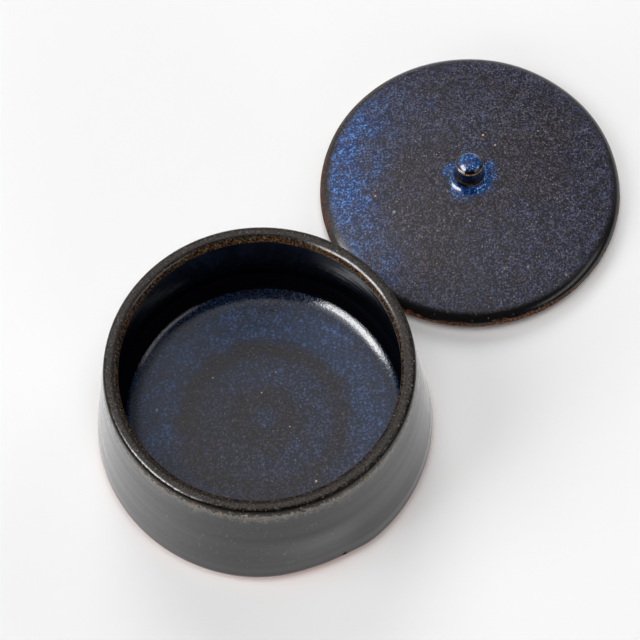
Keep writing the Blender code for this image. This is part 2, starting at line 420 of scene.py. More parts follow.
def lid_glaze():
    mat = Skin("lid_glaze")
    x, y, z = mat.xyz
    radius = mat.radius
    speckle = strong, _, grains = crystals(mat, 0.0)
    broad = mat.noise(0.024, detail=3.0, rough=0.55, offset=(11, 5, 2))
    broad_sway = broad - 0.5
    mid_sway = mat.noise(0.085, detail=3.0, rough=0.6, offset=(1, 2, 9)) - 0.5

    # blue down the left side of the lid, strongest just inside the edge; partly the glaze's own
    # blue, partly painted light from the left
    left = x * -1.0 + y * 0.10 + broad_sway * 34.0 + mid_sway * 16.0
    left_blue_and_light = ramp(left, 16.0, 68.0) * ramp(left, 30.0, 72.0, lo=0.38)
    drift = mat.noise(1.0, detail=3.0, rough=0.6, offset=(5, 2, 2), stretch=(0.085, 0.030, 0.05))
    patch = (ramp(mid_sway + broad_sway * 0.5, -0.16, 0.05, lo=0.50)
             * ramp(drift, 0.38, 0.58, lo=0.42)
             * band(radius + mid_sway * 10.0, 34.0, 64.0, 74.5, 79.5) * 1.25)
    left_blue_and_light = left_blue_and_light * (patch * 0.80 + 0.20)
    ring = ramp(radius + mid_sway * 16.0 + broad_sway * 12.0, 52.0, 76.0) * 0.10
    swirl = ramp(broad, 0.42, 0.66) * 0.10
    pool = pool_mask(mat, -0.9)
    blue = calc("MAXIMUM", calc("MAXIMUM", left_blue_and_light + swirl, ring), pool, clamp=True)
    colour = speckled(
        blue, speckle, dark=(0.0036, 0.0027, 0.0044), deep=(0.0035, 0.0140, 0.0700),
        tan=(0.090, 0.076, 0.076), violet=(0.072, 0.065, 0.112), cyan=(0.105, 0.325, 0.790),
        pale=(0.290, 0.275, 0.290), strength=0.96, grain_strength=0.54)

    # a brown bloom where the blue is thin, and in threads near the edge
    bloom = mat.noise(0.055, detail=3.0, rough=0.6, offset=(9, 9, 2))
    bloom = ramp(bloom, 0.50, 0.68) * ramp(blue, 0.75, 0.2)
    colour = mix(bloom * 0.30, colour, (0.017, 0.011, 0.009))
    threads = ramp(mat.noise(0.30, detail=3.0, rough=0.65, offset=(2, 9, 12)), 0.56, 0.66)
    threads = threads * (ramp(radius, 62.0, 76.0)) * ramp(left, 30.0, 60.0)
    colour = mix(threads * 0.45, colour, (0.040, 0.020, 0.012))
    for fleck_x, fleck_y, size, fleck_colour, strength in LID_FLECKS:
        colour = mix(mat.spot(fleck_x, fleck_y, size) * strength, colour, fleck_colour)
    pale = mat.dots(0.070, size=0.060, share=0.6, offset=(4, 8, 1), soft=0.5)
    colour = mix(pale * 0.65, colour, (0.24, 0.23, 0.23))

    # roll-over: the speckle thins out, the glaze is smooth and near black
    edge_sway = mat.noise(0.55, detail=3.0, rough=0.65, offset=(7, 7, 7)) - 0.5
    reach = mat.towards(270) * -1.5 + 78.9
    roll = ramp(radius + edge_sway * 2.0 - reach, -2.6, 1.3)
    colour = mix(roll, colour, (0.0050, 0.0044, 0.0046))

    # the glaze breaks to brown and orange on the edge, higher at left and front
    left_side = ramp(mat.towards(172), 0.25, 0.75)
    front_side = ramp(mat.towards(285), 0.10, 0.60)
    wear_top = 8.0 + left_side * 3.2 + front_side * 1.2
    over_wear = z + edge_sway * 5.0 + mid_sway * 6.0 - wear_top
    wear = ramp(over_wear, 0.7, -0.9) * ramp(radius, LID_R - 4.5, LID_R - 1.6)
    rust = mat.noise(0.80, detail=3.0, rough=0.65, offset=(17, 2, 7))
    brown = mix(ramp(rust, 0.44, 0.64), (0.016, 0.007, 0.004), (0.260, 0.100, 0.036))
    dull = mix(ramp(rust, 0.4, 0.62), (0.012, 0.005, 0.003), (0.070, 0.030, 0.015))
    brown = mix(left_side * 0.80, brown, dull)
    brown = mix(left_side * ramp(z, 8.6, 7.2) * 0.50, brown, (0.20, 0.10, 0.055))
    colour = mix(wear, colour, brown)
    flecks = mat.dots(0.45, size=0.20, share=0.30, offset=(2, 2, 5))
    flecks = roll * flecks * ramp(z, 7.5, 9.5)
    colour = mix(flecks * 0.6, colour, (0.19, 0.17, 0.15))

    # underside: thin brown glaze in the hollow, bare clay on the seat
    under = ramp(z, LID_Z0 + 0.60, LID_Z0 + 0.15) * ramp(radius, LID_R - 0.6, LID_R - 1.6)
    clay = mat.noise(0.8, detail=3.0, rough=0.6)
    clay = mix(clay, (0.190, 0.092, 0.055), (0.330, 0.180, 0.115))
    seat = under * ramp(radius, 59.5, 61.0)
    hollow = ramp(radius, 61.4, 60.2) * mat.attribute("down")
    colour = mix(hollow, colour, mix(strong, (0.020, 0.013, 0.010), (0.060, 0.040, 0.030)))
    colour = mix(seat, colour, clay)

    height = mat.noise(0.28, offset=(3, 1, 2)) * 0.45 + strong * 0.10 + grains * 0.06
    rough = fmix(roll, fmix(strong, 0.34, 0.44), 0.20)
    rough = fmix(pool, rough, 0.15)
    rough = fmix(calc("MAXIMUM", wear, seat), rough, 0.66)
    spec = fmix(wear, fmix(strong, 0.52, 0.44), 0.22)
    return mat.finish(colour, rough, relief(height, distance=0.00011), ior=1.50, spec=spec)


def knob_glaze(ring_z):
    """ring_z is the height of the ring round the crown."""
    mat = Skin("knob_glaze")
    z = mat.xyz[2]
    strong, hue, grains = crystals(mat, 2.0, scale=0.85, lo=0.46, hi=0.70)
    fine_sway = mat.noise(0.9, rough=0.6, offset=(5, 2, 9)) - 0.5
    front = ramp(mat.towards(262), 0.2, 0.95)

    # blue in the pool round the foot and on the crown, near black between; towards the front
    # both are cut back as painted shade, standing in for the dark reflection on the knob's front
    pool = ramp(z + fine_sway * 1.4 + front * 0.5, 28.1, 27.1) * pool_mask(mat, 0.0)
    crown = (ramp(z, ring_z + 0.2, ring_z + 0.5)
             * ramp(mat.radius + fine_sway * 1.6 + front * 0.7, 6.6, 5.7))
    blue = calc("MAXIMUM", pool, crown)
    colour = mix(blue, (0.0034, 0.0028, 0.0030), (0.0040, 0.0240, 0.1100))
    crystal = mix(hue, (0.030, 0.110, 0.420), (0.075, 0.340, 0.780))
    colour = mix(strong * blue * 0.9, colour, crystal)
    bright = mix(hue, (0.420, 0.460, 0.760), (0.420, 0.580, 0.780))
    colour = mix(grains * blue * 0.85, colour, bright)
    deep = ramp(mat.noise(0.6, rough=0.6, offset=(8, 1, 1)), 0.50, 0.62) * blue
    colour = mix(deep * 0.75, colour, (0.0030, 0.0080, 0.0420))
    side = mat.dots(0.8, size=0.28, share=0.22, offset=(1, 1, 3)) * (1.0 - blue)
    colour = mix(side * 0.35, colour, (0.055, 0.048, 0.060))

    # the glaze breaks tan on the ring round the crown, and faintly low down
    rim = band(z, ring_z - 0.65, ring_z - 0.10, ring_z + 0.34, ring_z + 0.62)
    breaks = mat.noise(0.7, rough=0.6, offset=(5, 5, 5))
    tan = mix(ramp(breaks, 0.35, 0.65), (0.085, 0.038, 0.018), (0.360, 0.200, 0.110))
    colour = mix(rim * ramp(breaks, 0.28, 0.46, lo=0.55), colour, tan)
    low_arc = band(z, 28.4, 28.8, 29.1, 29.6) * front * ramp(breaks, 0.38, 0.55)
    colour = mix(low_arc * 0.7, colour, (0.090, 0.042, 0.020))

    height = mat.noise(0.35, offset=(1, 2, 9)) * 0.5 + strong * 0.10
    return mat.finish(colour, fmix(rim, 0.13, 0.36), relief(height, distance=0.00010), ior=1.52)


BOWL_FLECKS = (  # x, y, radius
    (-26.7, 24.7, 0.62), (-1.0, 14.7, 0.60), (-57.1, 7.5, 0.55),
    (13.0, -5.9, 0.50), (25.6, -37.8, 0.80), (7.1, 26.1, 0.45))


def bowl_glaze(floor_end, mouth, outer, bottom, chip_at):
    """Distances along the profile: where the speckled floor ends, where the
    mouth's inner lip starts, the start of the outer wall, and the glaze line
    under the belly. chip_at is the place of the chip."""
    mat = Skin("bowl_glaze")
    x, y, _ = mat.xyz
    radius = mat.radius
    along = mat.attribute("along")
    speckle = strong, _, _ = crystals(mat, 5.0, scale=0.78)
    broad_sway = mat.noise(0.024, detail=3.0, rough=0.55, offset=(3, 15, 2)) - 0.5
    mid_sway = mat.noise(0.085, detail=3.0, rough=0.6, offset=(8, 2, 9)) - 0.5

    # ---- inside: speckled floor with soft blue rings
    uneven_r = radius + mid_sway * 9.0 + broad_sway * 9.0
    centre = ramp(uneven_r, 8.5, 2.5) * 0.55
    inner_ring = (band(uneven_r, 15.0, 23.0, 32.0, 41.0)
                  * ramp(mat.towards(40), -0.9, 0.8, lo=0.22, hi=0.50))
    outer_ring = (band(uneven_r, 41.0, 55.0, 80.0, 92.0)
                  * ramp(mat.towards(92), -0.9, 0.8, lo=0.40, hi=1.75))
    blue = calc("MAXIMUM", calc("MAXIMUM", centre, inner_ring), outer_ring, clamp=True)
    blue = blue * ramp(mid_sway + broad_sway, -0.22, 0.10, lo=0.55)
    colour = speckled(
        blue, speckle, dark=(0.0066, 0.0053, 0.0076), deep=(0.0072, 0.0185, 0.0500),
        tan=(0.068, 0.059, 0.062), violet=(0.052, 0.050, 0.092), cyan=(0.094, 0.180, 0.385),
        pale=(0.225, 0.215, 0.220), grain_strength=0.50,
        # the crystals fade on the fillet: painted shade where it mirrors the black wall
        strength=ramp(radius + mid_sway * 5.0, 65.0, 70.0, lo=0.90, hi=0.22))
    # painted sheen: pale streaks along the floor's throwing rings
    polar = node(mat.tree, "ShaderNodeCombineXYZ",
                 {0: radius * 1.4, 1: calc("ARCTAN2", y, x) * 9.0, 2: 0.0})
    ring_sheen_streaks = ramp(mat.noise(1.0, detail=3.0, rough=0.6, vector=polar), 0.52, 0.70)
    colour = mix(ring_sheen_streaks * 0.22, colour, mix(blue, (0.050, 0.048, 0.055), (0.050, 0.095, 0.190)))
    for fleck in BOWL_FLECKS:
        colour = mix(mat.spot(*fleck) * 0.9, colour, (0.52, 0.44, 0.30))
    pale = mat.dots(0.060, size=0.045, share=0.5, offset=(14, 8, 1), soft=0.5)
    colour = mix(pale * 0.7, colour, (0.33, 0.30, 0.24))
    # dark glassy spots crowd together as the floor turns up, deepened as painted shade where the
    # fillet mirrors the black wall
    dark_spots_and_shade = ramp(mat.noise(0.95, rough=0.6, offset=(41, 2, 3)), 0.47, 0.56)
    dark_spots_and_shade = ramp(radius, 61.0, 68.5) * dark_spots_and_shade
    colour = mix(dark_spots_and_shade * 0.88, colour, (0.0016, 0.0018, 0.0032))

    # ---- black glossy wall above a crisp line
    line_sway = (mat.noise(0.40, detail=3.0, rough=0.6, offset=(2, 4, 4)) - 0.5) * 1.6
    inner_wall = ramp(along + line_sway, floor_end - 0.45, floor_end + 0.45)
    faint = mat.dots(0.28, size=0.12, share=0.16, offset=(4, 4, 1))
    black = mix(faint * 0.6, (0.0018, 0.0020, 0.0032), (0.016, 0.016, 0.018))
    colour = mix(inner_wall, colour, black)

    # ---- rim: granular brown-black, ochre flecks inside, black break outside
    edge = mat.noise(0.62, detail=4.0, rough=0.70, offset=(7, 3, 7))
    edge_sway = edge - 0.5
    grit = mat.noise(0.85, detail=3.0, rough=0.70, offset=(2, 13, 7))
    coarse = mat.noise(0.70, rough=0.60, offset=(22, 3, 17))
    rim_along = along + edge_sway * 2.6
    top = mix(ramp(grit, 0.42, 0.62), (0.0040, 0.0028, 0.0022), (0.034, 0.0255, 0.021))
    top = mix(ramp(coarse, 0.54, 0.68) * 0.80, top, (0.088, 0.075, 0.064))
    pale = mat.dots(0.50, size=0.25, share=0.24, offset=(1, 1, 9))
    top = mix(pale * 0.85, top, (0.235, 0.215, 0.190))
    on_rim = ramp(rim_along, mouth - 0.5, mouth + 0.5)
    colour = mix(on_rim, colour, top)
    ochre_band = band(rim_along + mid_sway * 5.0,
                      mouth - 0.5, mouth + 0.4, mouth + 2.4, mouth + 4.6)
    ochre = mix(ramp(grit, 0.44, 0.62), (0.0070, 0.0040, 0.0022), (0.125, 0.060, 0.022))
    ochre = mix(ramp(coarse, 0.57, 0.70) * 0.8, ochre, (0.170, 0.135, 0.080))
    pale = mat.dots(0.75, size=0.26, share=0.22, offset=(6, 1, 9))
    ochre = mix(pale * 0.8, ochre, (0.240, 0.200, 0.130))
    colour = mix(ochre_band * 0.92, colour, ochre)
    crease = band(rim_along, mouth + 4.3, mouth + 4.9, mouth + 5.3, mouth + 6.1)
    colour = mix(crease * 0.75, colour, (0.0045, 0.0035, 0.0030))

    # ---- outer edge of the rim: ragged black break, flawed at the front
    front = ramp(mat.towards(268), -0.6, 0.5)
    ragged = mat.noise(0.50, detail=3.0, rough=0.75, offset=(31, 3, 7)) - 0.5
    ragged = ragged * (9.0 + front * 5.0)
    ragged_along = along + ragged + front * -2.3
    black_break = band(along + ragged * 0.30,
                       outer - 3.0, outer - 2.0, outer + 40.0, outer + 41.0)
    colour = mix(black_break * 0.95, colour, (0.0028, 0.0018, 0.0010))
    flaw = mat.dots(0.62, size=0.30, share=0.26, offset=(3, 31, 2))
    flaw = black_break * front * flaw
    flaw_colour = mix(ramp(coarse, 0.45, 0.55), (0.120, 0.066, 0.030), (0.230, 0.205, 0.150))
    colour = mix(flaw * 0.75, colour, flaw_colour)
    outside = ramp(ragged_along, outer + 0.60, outer + 1.50)

    # ---- outside: satin charcoal with fine pale grains
    satin = mat.noise(0.55, detail=4.0, rough=0.65, offset=(3, 3, 21))
    streak = mat.noise(1.0, detail=4.0, rough=0.65, stretch=(0.045, 0.045, 0.42))
    cloud = mat.noise(0.030, detail=3.0, rough=0.6, offset=(13, 3, 1))
    wall = mix(ramp(satin, 0.32, 0.68), (0.0028, 0.0024, 0.0028), (0.0160, 0.0140, 0.0150))
    wall = mix(ramp(streak, 0.46, 0.70) * 0.42, wall, (0.034, 0.031, 0.031))
    wall = mix(ramp(cloud, 0.40, 0.66) * 0.30, wall, (0.0065, 0.0058, 0.0062))
    # painted reflection: paler towards the left, standing in for the wall's grazing shine from
    # the bright left side
    wall = mix(ramp(mat.towards(193), 0.45, 1.0) * 0.30, wall, (0.110, 0.107, 0.110))
    small = mat.dots(0.38, size=0.190, share=0.30, offset=(1, 21, 9))
    wall = mix(small * 0.75, wall, (0.190, 0.185, 0.178))
    hairs = mat.noise(1.0, detail=1.0, offset=(5, 1, 2), stretch=(0.95, 0.95, 0.34))
    wall = mix(ramp(hairs, 0.69, 0.77) * 0.45, wall, (0.130, 0.125, 0.122))
    sparse = mat.dots(0.085, size=0.052, share=0.5, offset=(1, 2, 29))
    wall = mix(sparse * 0.9, wall, (0.36, 0.34, 0.31))
    # a pale ashy fade below the rim
    drips = mat.noise(1.0, detail=3.0, rough=0.6, stretch=(0.5, 0.5, 0.09)) - 0.5
    ash = (ramp(along + mid_sway * 12.0 + drips * 9.0, outer + 12.5, outer + 3.0)
           * ramp(edge, 0.30, 0.62, lo=0.55))
    ash_colour = mix(ramp(grit, 0.40, 0.65), (0.070, 0.066, 0.060), (0.235, 0.228, 0.210))
    wall = mix(ash * 0.80, wall, ash_colour)
    colour = mix(outside, colour, wall)
    # broken ochre line where the black ends
    edge_line = band(ragged_along, outer - 1.4, outer - 0.2, outer + 1.4, outer + 2.6)
    edge_line = edge_line * ramp(grit, 0.49, 0.58)
    line_colour = mix(ramp(coarse, 0.4, 0.6), (0.240, 0.120, 0.045), (0.300, 0.270, 0.200))
    colour = mix(edge_line * 0.88, colour, line_colour)

    # ---- a small chip low on the belly
    chip = ramp(mat.distance(chip_at, weights=(1, 1, 0.8)) + edge_sway * 2.2, 1.7, 1.1)
    colour = mix(chip, colour, (0.0040, 0.0036, 0.0034))

    # ---- glaze line low on the belly, bare clay under it, brown along it
    slow_sway = (mat.noise(0.035, offset=(5, 9, 1)) - 0.5) * 4.0
    low_along = along + edge_sway * 1.4 + slow_sway
    bare = ramp(low_along, bottom - 0.3, bottom + 0.3)
    clay = mat.noise(0.9, detail=3.0, rough=0.6, offset=(1, 9, 3))
    clay = mix(clay, (0.460, 0.145, 0.065), (0.680, 0.270, 0.140))
    colour = mix(bare, colour, clay)
    brown_line = band(low_along, bottom - 1.6, bottom - 0.6, bottom - 0.3, bottom + 0.2)
    colour = mix(brown_line * 0.7, colour, (0.095, 0.040, 0.020))

    # ---- gloss and relief, from the floor out to the bare clay
    rough = fmix(inner_wall, fmix(strong, 0.09, 0.22), 0.12)
    rough = fmix(on_rim, rough, fmix(grit, 0.10, 0.30))
    rough = fmix(outside, rough, fmix(satin, 0.15, 0.25) + ash * 0.18)
    rough = fmix(calc("MAXIMUM", bare, chip), rough, 0.80)
    spec = fmix(inner_wall, fmix(strong, 0.54, 0.38), 0.10)
    spec = fmix(on_rim, spec, fmix(ramp(coarse, 0.40, 0.60), 0.56, 0.34))
    spec = fmix(black_break * 0.9, spec, 0.10)
    spec = fmix(outside, spec, 0.46)
    spec = fmix(chip, spec, 0.04)
    sheen = outside * (1.0 - bare) * (1.0 - chip) * 0.46
    glaze_step = ramp(ragged_along, outer + 0.2, outer + 1.2, lo=0.9, hi=0.0)
    height = (mat.noise(0.22, offset=(3, 1, 2)) * fmix(inner_wall, 0.34, 0.12)
              + strong * fmix(inner_wall, 0.34, 0.0)
              + grit * (on_rim * 0.22) + satin * (outside * 0.85)
              + glaze_step * ramp(along, outer - 4, outer - 2))
    return mat.finish(colour, rough, relief(height, distance=0.00012), ior=1.52,
                      spec=spec, sheen=sheen)


def bare_clay(name, dark, light, seed):
    mat = Skin(name)
    grain = mat.noise(0.9, detail=4.0, rough=0.65, offset=(seed, 1, 2))
    slow = mat.noise(0.06, offset=(seed, 8, 2))
    colour = mix(grain, dark, light)
    shade = (dark[0] * 0.7, dark[1] * 0.65, dark[2] * 0.6)
    colour = mix(ramp(slow, 0.4, 0.7) * 0.4, colour, shade)
    pale = mat.dots(0.9, size=0.25, share=0.25, offset=(seed, 2, 2))
    colour = mix(pale * 0.7, colour, (0.46, 0.33, 0.24))
    black = mat.dots(0.5, size=0.22, share=0.35, offset=(3, seed, 2))
    colour = mix(black * 0.8, colour, (0.030, 0.018, 0.013))
    grooves = calc("SINE", (mat.radius + slow * 0.8) * 5.2)
    height = grain * 0.7 + grooves * 0.10
    return mat.finish(colour, fmix(grain, 0.78, 0.92),
                      relief(height, distance=0.00018, strength=0.7))


# --------------------------------------------------------------------- bowl
FLOOR_Z = 11.5
DISH_IN, DISH_OUT, DISH_SLOPE = 36.0, 66.0, 10.0    # floor's rising part, slope at its end
DISH_POWER = 2.5
WALL_IN_R, WALL_SLOPE = 78.0, 86.0
MOUTH_R, MOUTH_DROP = 72.3, 4.4
RIM_OUT_R, OUT_ROUND, CREST_W = 80.0, 3.0, 0.6
BELLY_Z, BELLY_ROUND = 9.6, 6.0
NAVY_SLOPE = 42.0    # slope of the fillet where the speckled floor ends
GLAZE_DROP = 4.9     # glaze line, past the start of the belly
FOOT_INSET = 0.6     # where the underside meets the foot
CHIP_R, CHIP_Z, CHIP_AZIMUTH = 88.9, 9.6, math.radians(-63.9)
CHIP_AT = (CHIP_R * math.cos(CHIP_AZIMUTH), CHIP_R * math.sin(CHIP_AZIMUTH), CHIP_Z)


def bowl_sections():
    """The profile from the inner floor to the underside, and the fillet's radius."""
    crest_out = RIM_OUT_R - OUT_ROUND
    crest_in = crest_out - CREST_W
    mouth_z = RIM_Z - MOUTH_DROP
    dish_slope, wall_slope = math.radians(DISH_SLOPE), math.radians(WALL_SLOPE)
    rise = dish_slope * (DISH_OUT - DISH_IN) / DISH_POWER
    t = np.linspace(0, 1, 34)
    floor = join(line((0, FLOOR_Z), (DISH_IN, FLOOR_Z), 1.0),
                 np.c_[DISH_IN + (DISH_OUT - DISH_IN) * t, FLOOR_Z + rise * t ** DISH_POWER])
    fillet_r = (WALL_IN_R - DISH_OUT) / (math.sin(wall_slope) - math.sin(dish_slope))
    fillet_centre = (DISH_OUT - fillet_r * math.sin(dish_slope),
                     FLOOR_Z + rise + fillet_r * math.cos(dish_slope))
    fillet = arc(fillet_centre, (fillet_r, fillet_r), DISH_SLOPE - 90, WALL_SLOPE - 90, 0.6)
    inner_wall = line(fillet[-1], (MOUTH_R, mouth_z), 1.3)
    inner_lip = arc((crest_in, mouth_z), (crest_in - MOUTH_R, MOUTH_DROP), 180, 90, 0.35)
    crest = line((crest_in, RIM_Z), (crest_out, RIM_Z), 0.4)
    outer_lip = arc((crest_out, RIM_Z - OUT_ROUND), (OUT_ROUND, OUT_ROUND), 90, 7, 0.3)
    outer_wall = line(outer_lip[-1], (BELLY_R, BELLY_Z), 1.0)
    belly = arc((BELLY_R - BELLY_ROUND, BELLY_Z), (BELLY_ROUND, BELLY_ROUND), 0, -90, 0.5)
    under_r = FOOT_R - FOOT_INSET
    under = join(line(belly[-1], (under_r, BODY_Z0), 0.8),
                 line((under_r, BODY_Z0), (0, BODY_Z0), 6.0))
    return [floor, fillet, inner_wall, inner_lip, crest,
            outer_lip, outer_wall, belly, under], fillet_r


BOWL_SECTIONS, FILLET_R = bowl_sections()
# distances along the profile
NAVY_AT = length_of(*BOWL_SECTIONS[:1]) + FILLET_R * math.radians(NAVY_SLOPE - DISH_SLOPE)
WALL_AT, MOUTH_AT, OUTER_AT, BELLY_AT = (length_of(*BOWL_SECTIONS[:n]) for n in (2, 3, 6, 7))


def bowl_shape(theta, along, radius, z, normal_r, normal_z):
    push = np.zeros_like(radius)
    # outer wall: faint throwing rings, one clearer swelling above the belly
    outer = (smooth(OUTER_AT - 0.5, OUTER_AT + 5, along)
             * (1 - smooth(BELLY_AT + 2, BELLY_AT + 8, along)))
    down = along - OUTER_AT
    rings = (0.018 * np.cos(TAU * down / 11.3 + 0.6 + 0.9 * np.cos(theta + 1))
             + 0.008 * np.cos(TAU * down / 6.1 + 2.1 + 1.3 * np.cos(theta - 2))
             * (0.6 + 0.4 * np.cos(theta + 2.2))
             + 0.003 * np.cos(TAU * down / 3.1 + 0.3 + 1.6 * np.cos(2 * theta)))
    push += outer * rings
    push += outer * 0.10 * waves(3, theta, along, 10, 5, 18, 70)
    push += 0.20 * hump(along, BELLY_AT - 8.5, 3.4) * (0.65 + 0.35 * np.cos(theta - 0.2))
    push -= 0.16 * hump(along, BELLY_AT - 2.6, 2.4) * (0.65 + 0.35 * np.cos(theta - 0.4))
    # the wall is pressed in a little low down, about azimuth -72
    azimuth = np.degrees((theta + math.radians(72) + math.pi) % TAU - math.pi)
    press = np.where(azimuth < 0, np.exp(-(azimuth / 17.0) ** 2),
                     np.exp(-(np.maximum(azimuth, 0) / 15.0) ** 4))
    push -= (1.75 * press * smooth(BELLY_AT - 38, BELLY_AT - 6, along)
             * (1 - smooth(BELLY_AT + 5, BELLY_AT + 9, along)))
    # inner wall and floor
    inner = (smooth(WALL_AT - 2, WALL_AT + 6, along)
             * (1 - smooth(MOUTH_AT - 8, MOUTH_AT - 1, along)))
    push += inner * (0.016 * np.cos(TAU * along / 7.3 + 0.7 * np.cos(theta))
                     + 0.05 * waves(8, theta, along, 6, 4, 25, 60))
    floor = 1 - smooth(NAVY_AT - 12, NAVY_AT - 6, along)
    push += floor * (0.004 * np.cos(TAU * radius / 9.0 + theta)
                     + 0.003 * np.cos(TAU * radius / 4.0 - 1.0))
    # rim a little uneven
    rim = (smooth(MOUTH_AT - 6, MOUTH_AT + 1, along)
           * (1 - smooth(OUTER_AT, OUTER_AT + 8, along)))
    lift = rim * 0.11 * waves(11, theta, 0 * along, 6, 6, 20, 50)
    push += rim * 0.05 * waves(13, theta, along, 12, 24, 6, 20)
    # the whole pot slightly out of round, except underneath
    oval = 0.10 * np.cos(2 * theta + 0.6) + 0.06 * np.cos(3 * theta - 1.0)
    above = 1 - smooth(BELLY_AT + 4, BELLY_AT + 9, along)
    return push * normal_r + oval * above, (push * normal_z + lift) * above


turned("bowl_body_glazed", join(*BOWL_SECTIONS), BOWL_AXIS, 400, bowl_shape,
       bowl_glaze(NAVY_AT, MOUTH_AT, OUTER_AT, BELLY_AT + GLAZE_DROP, CHIP_AT),
       "bowl", "bowl_body")

# --------------------------------------------------------------------- foot
FOOT_TOP_ROUND, FOOT_LOW_ROUND, FOOT_TAPER = 0.7, 1.0, 0.15
foot_top_r = FOOT_R - FOOT_TOP_ROUND
foot_top_z = FOOT_H - FOOT_TOP_ROUND
foot_low_r = FOOT_R - FOOT_TAPER - FOOT_LOW_ROUND
foot_profile = join(
    line((0, FOOT_H), (foot_top_r, FOOT_H), 4.0),
    arc((foot_top_r, foot_top_z), (FOOT_TOP_ROUND, FOOT_TOP_ROUND), 90, 0, 0.25),
    line((FOOT_R, foot_top_z), (FOOT_R - FOOT_TAPER, 1.1), 0.5),
    arc((foot_low_r, FOOT_LOW_ROUND), (FOOT_LOW_ROUND, FOOT_LOW_ROUND), 0, -90, 0.3),
    line((foot_low_r, 0.0), (0, 0.0), 0.9))


def foot_shape(theta, along, radius, z, normal_r, normal_z):
    push = 0.05 * waves(21, theta, along, 8, 9, 3, 20) * smooth(FOOT_R - 5, FOOT_R, radius)
    # turning grooves underneath
    under = (z < 0.01) * (1 - smooth(FOOT_R - 4, FOOT_R - 1.2, radius))
    lift = under * (0.10 + 0.08 * np.cos(TAU * radius / 3.1 + theta))
    return push * normal_r, np.maximum(push * normal_z, 0) * (z > 0.5) + lift


turned("bowl_foot_clay", foot_profile, BOWL_AXIS, 256, foot_shape,
       bare_clay("foot_clay", (0.420, 0.150, 0.075), (0.640, 0.290, 0.165), seed=4.0),
       "bowl", "bowl_foot")

# ---------------------------------------------------------------------- lid
ROLL_W, ROLL_H, ROLL_Z = 12.4, 7.0, LID_Z0 + 0.8
LID_EDGE_ROUND = 0.8
SEAT_IN_R, HOLLOW_R, HOLLOW_RISE = 61.5, 58.0, 3.5
LID_THICK = 6.6      # at the crown

# find where the dome runs smoothly into the elliptical roll-over
roll_centre_r = LID_R - ROLL_W
turn = 0.0
for _ in range(80):
    dome_r = roll_centre_r + ROLL_W * math.sin(turn)
    dome_z = ROLL_Z + ROLL_H * math.cos(turn)
    sag = CROWN_Z - dome_z
    slope = math.asin(dome_r / ((dome_r ** 2 + sag ** 2) / (2 * sag)))
    turn = math.atan(math.tan(slope) * ROLL_W / ROLL_H)


def lid_top(radius):
    return dome(radius, CROWN_Z, dome_r, dome_z)


top_radii = np.linspace(0, dome_r, 78)
hollow_radii = np.linspace(HOLLOW_R, 0, 40)
hollow_z = LID_Z0 + HOLLOW_RISE
lid_edge = arc((LID_R - LID_EDGE_ROUND, LID_Z0 + LID_EDGE_ROUND),
               (LID_EDGE_ROUND, LID_EDGE_ROUND), 0, -90, 0.2)
lid_profile = join(
    np.c_[top_radii, lid_top(top_radii)],
    arc((roll_centre_r, ROLL_Z), (ROLL_W, ROLL_H), 90 - math.degrees(turn), 0, 0.40),
    lid_edge,
    line(lid_edge[-1], (SEAT_IN_R, LID_Z0), 1.2),
    line((SEAT_IN_R, LID_Z0), (HOLLOW_R, hollow_z), 0.8),
    np.c_[hollow_radii, dome(hollow_radii, CROWN_Z - LID_THICK, HOLLOW_R, hollow_z)])


def lid_shape(theta, along, radius, z, normal_r, normal_z):
    top = normal_z > 0.05
    push = top * 0.05 * waves(31, theta, along, 12, 4, 18, 60) * smooth(8, 20, radius)
    push += (top * 0.020 * np.cos(TAU * radius / 9.0 + theta + 0.5 * np.cos(2 * theta))
             * smooth(16, 30, radius) * (1 - smooth(68, 74, radius)))
    edge = smooth(74, 80, radius)
    push += edge * top * 0.10 * waves(35, theta, 0 * along, 7, 9, 20, 50)
    hollow = (normal_z < -0.2) * (radius < 60)
    push += hollow * 0.10 * np.cos(TAU * radius / 4.2 + theta)
    return push * normal_r, push * normal_z


turned("lid_plate_glazed", lid_profile, LID_AXIS, 360, lid_shape, lid_glaze(),
       "lid", "lid_plate")

# ------------------------------------------------------------- locating ring
RING_ROUND, RING_IN_R = 1.2, 63.2
round_radii = (RING_ROUND, RING_ROUND)
ring_profile = join(
    line((RING_IN_R, RING_TOP), (RING_OUT_R, RING_TOP), 1.0),
    line((RING_OUT_R, RING_TOP), (RING_OUT_R, RING_ROUND), 0.6),
    arc((RING_OUT_R - RING_ROUND, RING_ROUND), round_radii, 0, -90, 0.3),
    line((RING_OUT_R - RING_ROUND, 0), (RING_IN_R + RING_ROUND, 0), 0.8),
    arc((RING_IN_R + RING_ROUND, RING_ROUND), round_radii, -90, -180, 0.3),
    line((RING_IN_R, RING_ROUND), (RING_IN_R, RING_TOP), 0.6))[:-1]


def ring_shape(theta, along, radius, z, normal_r, normal_z):
    push = 0.05 * waves(41, theta, along, 8, 9, 3, 12)
    side = (np.abs(normal_r) > 0.5) * (z < RING_TOP - 0.3)
    return push * normal_r * side, 0 * push


turned("lid_ring_clay", ring_profile, LID_AXIS, 256, ring_shape,
       bare_clay("ring_clay", (0.190, 0.085, 0.050), (0.350, 0.185, 0.115), seed=14.0),
       "lid", "lid_locating_ring")

# --------------------------------------------------------------------- knob
KNOB_RING_Z, KNOB_RING_R, KNOB_EDGE = KNOB_TOP - 3.7, 7.5, 0.6
NECK_R, FLARE_R = 7.2, 7.0
FLARE_FOOT_R, FLARE_SINK = 13.9, 0.05    # where the flare dips into the lid
BASE_R, BASE_SINK = 15.2, 0.4            # sets the height of the hidden base
WAIST = 0.20

